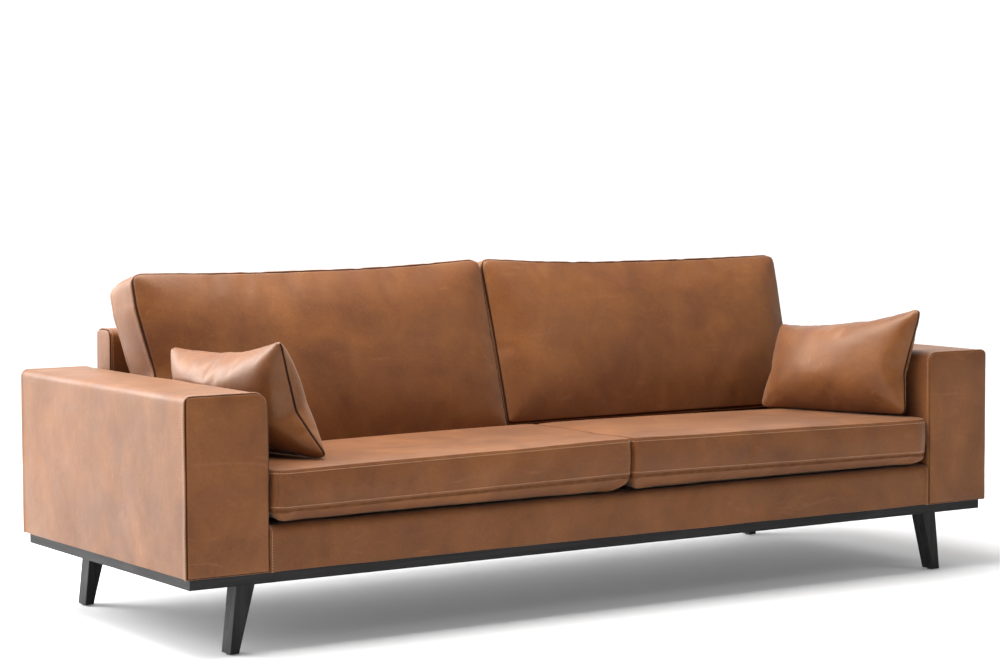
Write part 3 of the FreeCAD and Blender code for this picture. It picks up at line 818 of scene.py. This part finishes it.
def seat_cushion(side, seed):
    """Boxed seat cushion: its top crowns, its underside rounds in and lies flat on the deck."""
    node = side + "_seat_cushion_cover"
    low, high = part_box(node)
    if side == "left":
        low.x += SEAT_PLAY
    else:
        high.x -= SEAT_PLAY
    mid = (low + high) / 2
    half_u = (high.x - low.x) / 2
    half_v = (high.y - low.y) / 2 - SEAT_FACE / 2
    centre_y = mid.y + SEAT_FACE / 2
    depth = SEAT_SEAM_TOP - SEAT_SEAM_LOW
    under = SEAT_SEAM_LOW - low.z

    def shape(u, v, w):
        edge = min(half_u - abs(u), half_v - abs(v))
        across, along = round_corner(u, v, half_u, half_v, SEAT_CORNERS[side])
        rise = seat_rise(mid.x + across, centre_y + along)
        height = SEAT_SEAM_TOP + rise - w
        if w == 0:
            height = seat_level(mid.x + across, centre_y + along, edge)
        elif w == depth:
            height -= (under + rise) * dome(edge, SEAT_UNDER_ROLL)
        elif abs(abs(v) - half_v) < TINY:
            along += math.copysign(SEAT_BULGE * math.sin(math.pi * w / depth), along)
        return mid.x + across, centre_y + along, height

    pad = Pad(side + "_seat_cushion", stations(half_u, CUSHION_STEP), stations(half_v, CUSHION_STEP),
              rows_of_boxing(depth, SEAT_ROW), shape)
    last = len(pad.ws) - 1
    sewn = pad.points()[:, 2].copy()
    inflate(pad, SEAT_PRESSURE, SEAT_CAP, pad.ring(0) + pad.ring(last), SEAT_GROWTH)
    ripple(pad, *SEAT_RIPPLE, seed + SEAT_SEEDS)
    points = pad.points()
    points[:, 2] = np.clip(points[:, 2], sewn - SEAT_SWELL, sewn + SEAT_SWELL)
    points[:, 2] = np.minimum(points[:, 2], seat_top(points[:, 0], points[:, 1]))
    points[:, 2] = np.maximum(points[:, 2], low.z + SEAT_LIFT)
    points[:, 0] = np.clip(points[:, 0], low.x + SEAT_GAP, high.x - SEAT_GAP)
    points[:, 1] = np.clip(points[:, 1], low.y - SEAT_BULGE, high.y)
    pad.set_points(points)
    threads = sew(pad, relief=SEAT_SEAM_RELIEF)
    pad.smooth()
    settle(pad, side + "_seat_cushion", node, node.replace("cover", "core"),
           LEATHERS[seed % len(LEATHERS)], threads, SOFT_SEAM_SHADE)


BACK_BOXING = 0.125
BACK_TILT = math.radians(17.4)
BACK_SEAM_FRONT = 0.027   # the front seam lies this far behind the solid's front edge
BACK_PROUD = {"left": 0.021, "right": 0.007}   # the outer side swells this far above the arm
BACK_FOOT = {"left": 0.002, "right": 0.017}    # height of the lower front seam above the seat there
BACK_TOP_FALL = 0.06      # the top boxing falls at least this steeply towards the rear
BACK_TOP_PLAY = 0.001     # from this much above the front seam
BACK_PROUD_POWER = 6      # the higher, the nearer to its outer edge it swells
BACK_PROUD_FROM = -0.1    # the outer side swells from this share of half the height
BACK_PROUD_RISE = 0.7     # and fully this much further up
BACK_PEAK = 0.011         # the upper corners in the middle of the sofa stand this much higher
BACK_SAG = 0.007          # the upper edge is this much lower between its corners
BACK_ABOVE = 0.004        # its plain height passes the solid's top by this much
BACK_WAIST = 0.002        # the sides pull in this much between their corners
BACK_CORNERS = (0.012, 0.012, 0.028, 0.028)   # radii, the upper ones last
BACK_CROWN_FRONT = (0.021, 0.10)   # how far each panel swells, and how far from its seams
BACK_CROWN_REAR = (0.024, 0.16)
BACK_BULGE = 0.006        # the boxing swells this much, the lower one twice as much
BACK_ROW = 0.014
BACK_PRESSURE = 3.5
BACK_CAP = 0.026
BACK_GROWTH = 0.003
BACK_RIPPLE = (0.0022, 4.5)
BACK_SEEDS = 40
BACK_CLEAR = 0.002        # it keeps this distance from the fixed back
BACK_OVER = 0.004         # up to this far above the fixed back's top
BACK_STANDS = 0.0008      # it stands this far above the seat
BACK_GAP = 0.0012         # half the least gap between the two back cushions
BACK_ARM_GAP = 0.0008     # the least gap between one and its arm
OVER_ARM = 0.02           # a cushion may lean out over an arm from this far below its top
BACK_SPREAD = 0.35        # by this share of its height above that


def outer_swell(side, across, rise):
    """How far the outer side of a back cushion swells over the arm, from -1..1 across and up it."""
    outer = max(0, across) ** BACK_PROUD_POWER
    return outer * BACK_PROUD[side] * min(max((rise - BACK_PROUD_FROM) / BACK_PROUD_RISE, 0), 1)


def back_cushion(side, seed):
    """Boxed back cushion that leans back, stands flat on the seat and bulges both ways."""
    node = side + "_back_cushion_cover"
    low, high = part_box(node)
    half_u = (high.x - low.x) / 2
    mid_x = (high.x + low.x) / 2
    foot_z = SEAT_REAR + BACK_FOOT[side]
    tall = (high.z - foot_z) / math.cos(BACK_TILT) + BACK_ABOVE
    half_v = tall / 2
    foot = Vector((mid_x, low.y + BACK_SEAM_FRONT - (low.z - foot_z) * math.tan(BACK_TILT), foot_z))
    up = Vector((0, math.sin(BACK_TILT), math.cos(BACK_TILT)))
    out = Vector((0, math.cos(BACK_TILT), -math.sin(BACK_TILT)))
    outward = -1 if side == "left" else 1

    def shape(u, v, w):
        edge = min(half_u - abs(u), half_v - abs(v))
        across, rise = round_corner(u, v, half_u, half_v, BACK_CORNERS)
        across *= 1 - BACK_WAIST / half_u * (1 - (v / half_v) ** 2)
        across += outward * outer_swell(side, u / half_u * outward, v / half_v)
        if v > 0:
            inner = (1 - u / half_u * outward) / 2
            top = (v / half_v) ** 3
            rise += top * (BACK_PEAK * inner ** 3 - BACK_SAG * (1 - (u / half_u) ** 2))
        rise += half_v
        lift = w * math.tan(BACK_TILT)
        rise = lift + rise * (tall - lift) / tall
        through = w
        if w == 0:
            crown, reach = BACK_CROWN_FRONT
            through = -crown * dome(edge, reach)
        elif w == BACK_BOXING:
            crown, reach = BACK_CROWN_REAR
            through = BACK_BOXING + crown * dome(edge, reach)
        else:
            bulge = BACK_BULGE * math.sin(math.pi * w / BACK_BOXING)
            if abs(abs(u) - half_u) < TINY:
                across += math.copysign(bulge, u)
            if abs(v - half_v) < TINY:
                rise += bulge
            elif abs(v + half_v) < TINY:
                rise -= 2 * bulge
        return foot + Vector((across, 0, 0)) + up * rise + out * through

    pad = Pad(side + "_back_cushion", stations(half_u, CUSHION_STEP), stations(half_v, CUSHION_STEP),
              rows_of_boxing(BACK_BOXING, BACK_ROW), shape)
    last = len(pad.ws) - 1
    inflate(pad, BACK_PRESSURE, BACK_CAP, pad.ring(0) + pad.ring(last), BACK_GROWTH)
    ripple(pad, *BACK_RIPPLE, seed + BACK_SEEDS, pad.ring(0))
    points = pad.points()
    top_row = len(pad.vs) - 1
    for i in range(len(pad.us)):
        edge_y, edge_z = points[pad.index[i, top_row, 0]][1:]
        for k in range(1, last + 1):
            point = points[pad.index[i, top_row, k]]
            fallen = edge_z + BACK_TOP_PLAY - BACK_TOP_FALL * (point[1] - edge_y)
            point[2] = min(point[2], fallen)
    rear = FIXED_BACK_FRONT - BACK_CLEAR
    behind = (points[:, 2] < FIXED_BACK_LEVEL + BACK_OVER) & (points[:, 1] > rear)
    points[behind, 1] = rear
    points[:, 2] = np.maximum(points[:, 2], SEAT_REAR + BACK_STANDS)
    points[:, 0] = outward * np.maximum(outward * points[:, 0], BACK_GAP)
    over_arm = np.maximum(points[:, 2] - ARM_LEVEL + OVER_ARM, 0)
    wall = RAIL_END - BACK_ARM_GAP + over_arm * BACK_SPREAD
    points[:, 0] = outward * np.minimum(outward * points[:, 0], wall)
    pad.set_points(points)
    threads = sew(pad)
    pad.smooth()
    settle(pad, side + "_back_cushion", node, node.replace("cover", "core"),
           LEATHERS[seed % len(LEATHERS)], threads)


# ---------------------------------------------------------------- throw pillows

PILLOW_EDGE = 0.005       # thickness at the seam
PILLOW_HALF = 0.066       # half the thickness in the middle
# Corners of each pillow: front top, front bottom, rear top, rear bottom.
PILLOW_CORNERS = {
    "left": ((-0.877, -0.338, 0.672), (-0.786, -0.380, 0.412), (-0.937, 0.080, 0.636),
             (-0.868, 0.065, 0.406)),
    "right": ((0.940, -0.402, 0.682), (0.893, -0.398, 0.412), (0.868, 0.066, 0.622),
              (0.738, -0.010, 0.410)),
}
# The short sides, rear and front, fold in this much between their corners.
PILLOW_TUCK = {"left": (0.006, 0.044), "right": (0.012, 0.022)}
PILLOW_FOLD = -0.22       # height of that fold, as a share of half the height
PILLOW_WAIST = 0.024      # the upper long side sags this much
PILLOW_CORNER = 0.018     # corner radius
PILLOW_FULL_ALONG = 3.4
PILLOW_FULL_UP = 2.6
PILLOW_SHOULDER = 0.6     # the lower, the steeper it rises from its seam
PILLOW_STEP = 0.009       # size of its grid
PILLOW_NEAR_SEAM = (SEAM_WIDTH, 0.006, 0.013)
PILLOW_SEAM_ROW = 1
PILLOW_PRESSURE = 5
PILLOW_CAP = 0.012
PILLOW_GROWTH = 0.010
PILLOW_STIFFNESS = 20
PILLOW_BENDING = 3
PILLOW_RIPPLE = (0.0018, 9)
PILLOW_SEEDS = 60
PILLOW_REST = 0.001       # it lies this far above the seat
PILLOW_ARM_GAP = 0.002    # and this far from the arm
PILLOW_SPREAD = 0.6       # it leans out over the arm by this share of its height above it

CREASE_HEIGHT = 0.0008
CREASE_AWAY = 0.07        # the folds are deepest this far from a corner
CREASE_WIDTH = 0.05       # and fade over this distance
CREASE_WAVES = 9
CREASE_SHIFT = 2.1        # between the waves of one corner and those of the next
CREASE_FADE = 4           # the folds fade this fast towards the seams


def crease(u, v, half_u, half_v, seed):
    """Folds that fan out from the corners of a pillow, as a height."""
    height = 0
    for number, (end, edge) in enumerate(((1, 1), (1, -1), (-1, 1), (-1, -1))):
        over, up = (half_u - end * u), (half_v - edge * v)
        away = math.hypot(over, up)
        angle = math.atan2(up, over)
        waves = math.sin(CREASE_WAVES * angle + seed + CREASE_SHIFT * number)
        waves *= math.sin(math.pi * min(angle / (math.pi / 2), 1))
        height += waves * math.exp(-((away - CREASE_AWAY) / CREASE_WIDTH) ** 2)
    return height


def fullness(share, power):
    """1 in the middle of a panel and 0 at its seam; a higher power keeps it full further out."""
    return max(1 - share ** power, 0) ** PILLOW_SHOULDER


def throw_pillow(side, seed):
    """A knife-edged pillow of two panels, plump in the middle, its short sides tucked in."""
    cover = side + "_throw_pillow_cover"
    front_top, front_low, rear_top, rear_low = (Vector(corner) for corner in PILLOW_CORNERS[side])
    half_u = ((front_top - rear_top).length + (front_low - rear_low).length) / 4
    half_v = ((front_top - front_low).length + (rear_top - rear_low).length) / 4
    facing = (front_top - rear_low).cross(rear_top - front_low).normalized()
    if facing.x > 0:
        facing = -facing

    def shape(u, v, w):
        bent_u, bent_v = round_corner(u, v, half_u, half_v, (PILLOW_CORNER,) * 4)
        p, q = bent_u / half_u, bent_v / half_v
        reach = (q - PILLOW_FOLD) / (math.copysign(1, q - PILLOW_FOLD) - PILLOW_FOLD)
        p -= p * PILLOW_TUCK[side][p > 0] / half_u * abs(p) ** 3 * (1 - reach)
        q -= PILLOW_WAIST / half_v * max(q, 0) ** 3 * (1 - p * p)
        front = front_low.lerp(front_top, (q + 1) / 2)
        rear = rear_low.lerp(rear_top, (q + 1) / 2)
        middle = rear.lerp(front, (p + 1) / 2)
        across, rise = abs(u) / half_u, abs(v) / half_v
        plump = PILLOW_HALF * fullness(across, PILLOW_FULL_ALONG) * fullness(rise, PILLOW_FULL_UP)
        fade = min(1, CREASE_FADE * (1 - max(across, rise)))
        plump += CREASE_HEIGHT * crease(u, v, half_u, half_v, seed) * fade
        through = PILLOW_EDGE / 2 - w
        if w == 0:
            through += plump
        elif w == PILLOW_EDGE:
            through -= plump
        return middle + facing * through

    us, vs = (stations(half, PILLOW_STEP, PILLOW_NEAR_SEAM) for half in (half_u, half_v))
    pad = Pad(side + "_throw_pillow", us, vs, [0, PILLOW_EDGE / 2, PILLOW_EDGE], shape)
    inflate(pad, PILLOW_PRESSURE, PILLOW_CAP, pad.ring(0) + pad.ring(1) + pad.ring(2), PILLOW_GROWTH,
            PILLOW_STIFFNESS, PILLOW_BENDING)
    ripple(pad, *PILLOW_RIPPLE, seed + PILLOW_SEEDS)
    points = pad.points()
    rest = np.array([seat_level(across, along) for across, along, _ in points]) + SEAT_SWELL
    points[:, 2] = np.maximum(points[:, 2], rest + PILLOW_REST)
    over_arm = np.maximum(points[:, 2] - ARM_LEVEL + OVER_ARM, 0)
    wall = RAIL_END - PILLOW_ARM_GAP + over_arm * PILLOW_SPREAD
    points[:, 0] = np.clip(points[:, 0], -wall, wall)
    pad.set_points(points)
    pad.sink([PILLOW_SEAM_ROW], SEAM_DEPTH)
    # The seam faces across the short ends take the painted shade of the groove.
    pad.paint_seam_shade([PILLOW_SEAM_ROW], ends_only=True)
    pad.smooth()
    settle(pad, side + "_throw_pillow", cover, cover.replace("cover", "core"),
           PILLOW_LEATHER, [])


# ---------------------------------------------------------------- everything

THREAD = thread("thread")
HIDES = 4
HIDE_SHIFT = 1.37         # from one hide's pattern to the next
LEATHERS = [leather("leather_%d" % number, HIDE_SHIFT * number) for number in range(HIDES)]
PILLOW_LEATHER = leather("pillow_leather", shift=6.4, polish=0.45)
# Painted shade for the seam grooves: dark on the left arm, fixed back, back cushions and pillows; softer on
# the seat cushions, the right arm and the front rail.
DARK_SEAM_SHADE = groove("seam_painted_shade", (0.022, 0.008, 0.004))
SOFT_SEAM_SHADE = groove("soft_seam_painted_shade", (0.088, 0.034, 0.013))
camera()
studio()
dress_frame()
upholstery()
for number, name in enumerate(("left", "right")):
    seat_cushion(name, number)
    back_cushion(name, number + 2)
    throw_pillow(name, number + 1)
